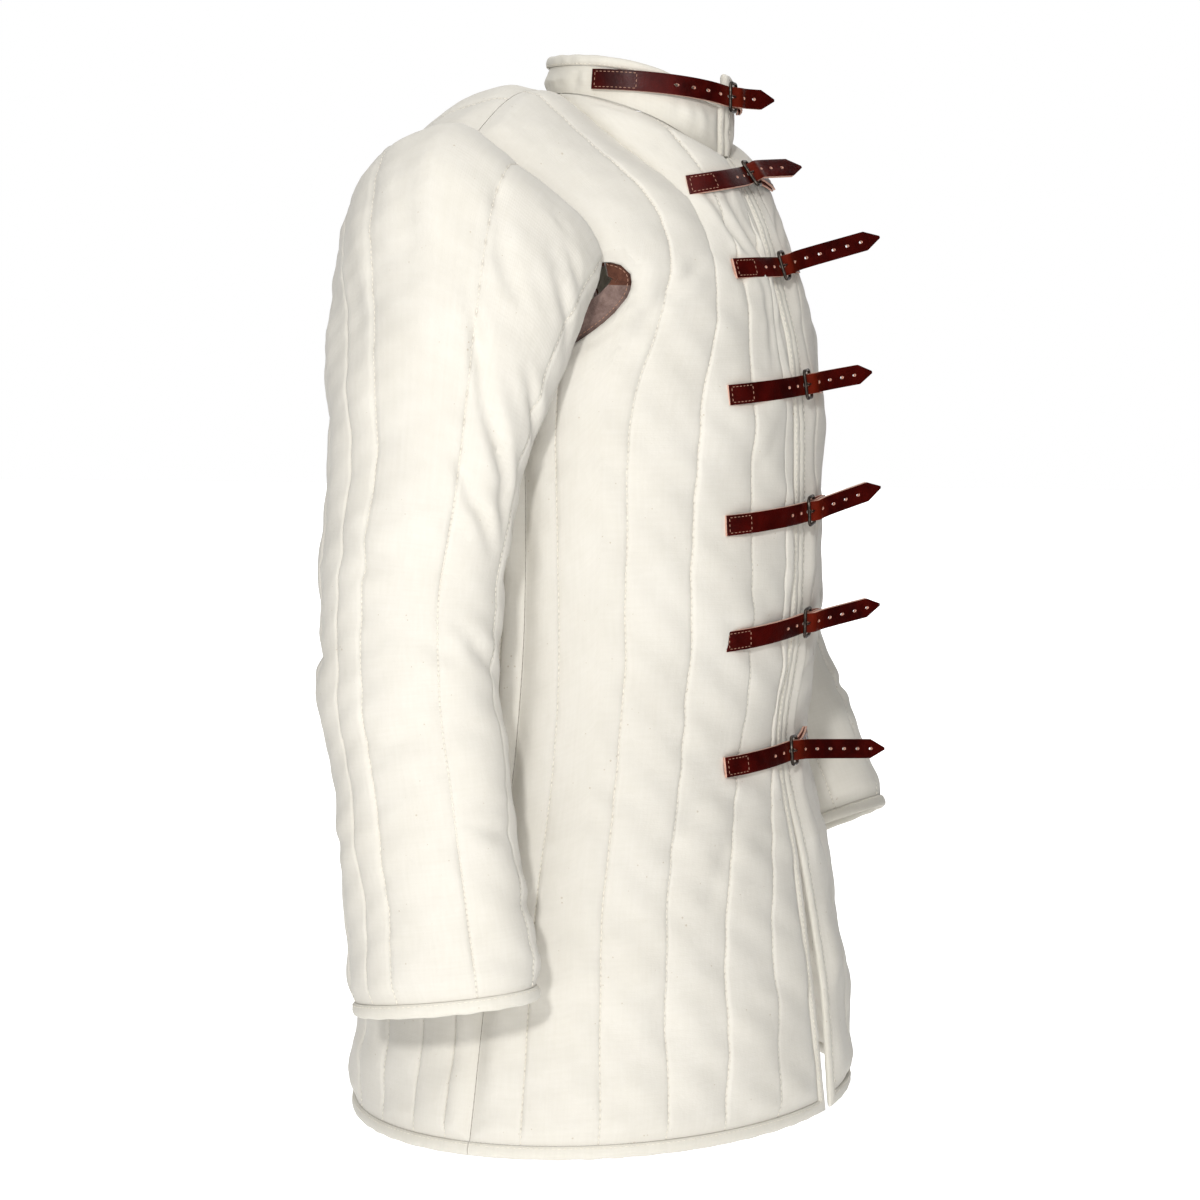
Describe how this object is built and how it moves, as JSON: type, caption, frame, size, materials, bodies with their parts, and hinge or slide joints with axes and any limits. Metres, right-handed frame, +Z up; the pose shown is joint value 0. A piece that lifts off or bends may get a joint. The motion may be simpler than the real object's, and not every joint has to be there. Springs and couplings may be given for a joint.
{
  "type": "gambeson",
  "caption": "Quilted padded coat of unbleached cotton with a standing collar, long sleeves, open armpits, and a front closed by leather straps with small iron buckles.",
  "frame": {"origin": "between the two neck points, where the wearer's shoulders carry the coat", "axes": "+Z up, the wearer faces -Y, the wearer's left is +X"},
  "size_m": [0.7185, 0.4031, 0.8312],
  "materials": {
    "cotton": "matt unbleached cotton canvas",
    "cotton_edge": "matt cotton canvas, rolled and stitched",
    "strap_leather": "waxed, slightly glossy",
    "suede": "matt suede",
    "iron": "dark, slightly worn"
  },
  "bodies": {
    "root": {"armhole_facing_left": "suede", "armhole_facing_right": "suede", "back": "cotton", "back_hem_edge": "cotton_edge", "buckle_frame_1": "iron", "buckle_frame_2": "iron", "buckle_frame_3": "iron", "buckle_frame_4": "iron", "buckle_frame_5": "iron", "buckle_frame_6": "iron", "buckle_frame_7": "iron", "buckle_tongue_1": "iron", "buckle_tongue_2": "iron", "buckle_tongue_3": "iron", "buckle_tongue_4": "iron", "buckle_tongue_5": "iron", "buckle_tongue_6": "iron", "buckle_tongue_7": "iron", "chape_1": "strap_leather", "chape_2": "strap_leather", "chape_3": "strap_leather", "chape_4": "strap_leather", "chape_5": "strap_leather", "chape_6": "strap_leather", "chape_7": "strap_leather", "collar": "cotton", "collar_edge": "cotton_edge", "cuff_edge_left": "cotton_edge", "cuff_edge_right": "cotton_edge", "front_edge_left": "cotton_edge", "front_edge_right": "cotton_edge", "front_left": "cotton", "front_right": "cotton", "sleeve_facing_left": "suede", "sleeve_facing_right": "suede", "sleeve_left": "cotton", "sleeve_right": "cotton", "strap_1": "strap_leather", "strap_2": "strap_leather", "strap_3": "strap_leather", "strap_4": "strap_leather", "strap_5": "strap_leather", "strap_6": "strap_leather", "strap_7": "strap_leather"}
  },
  "joints": []
}
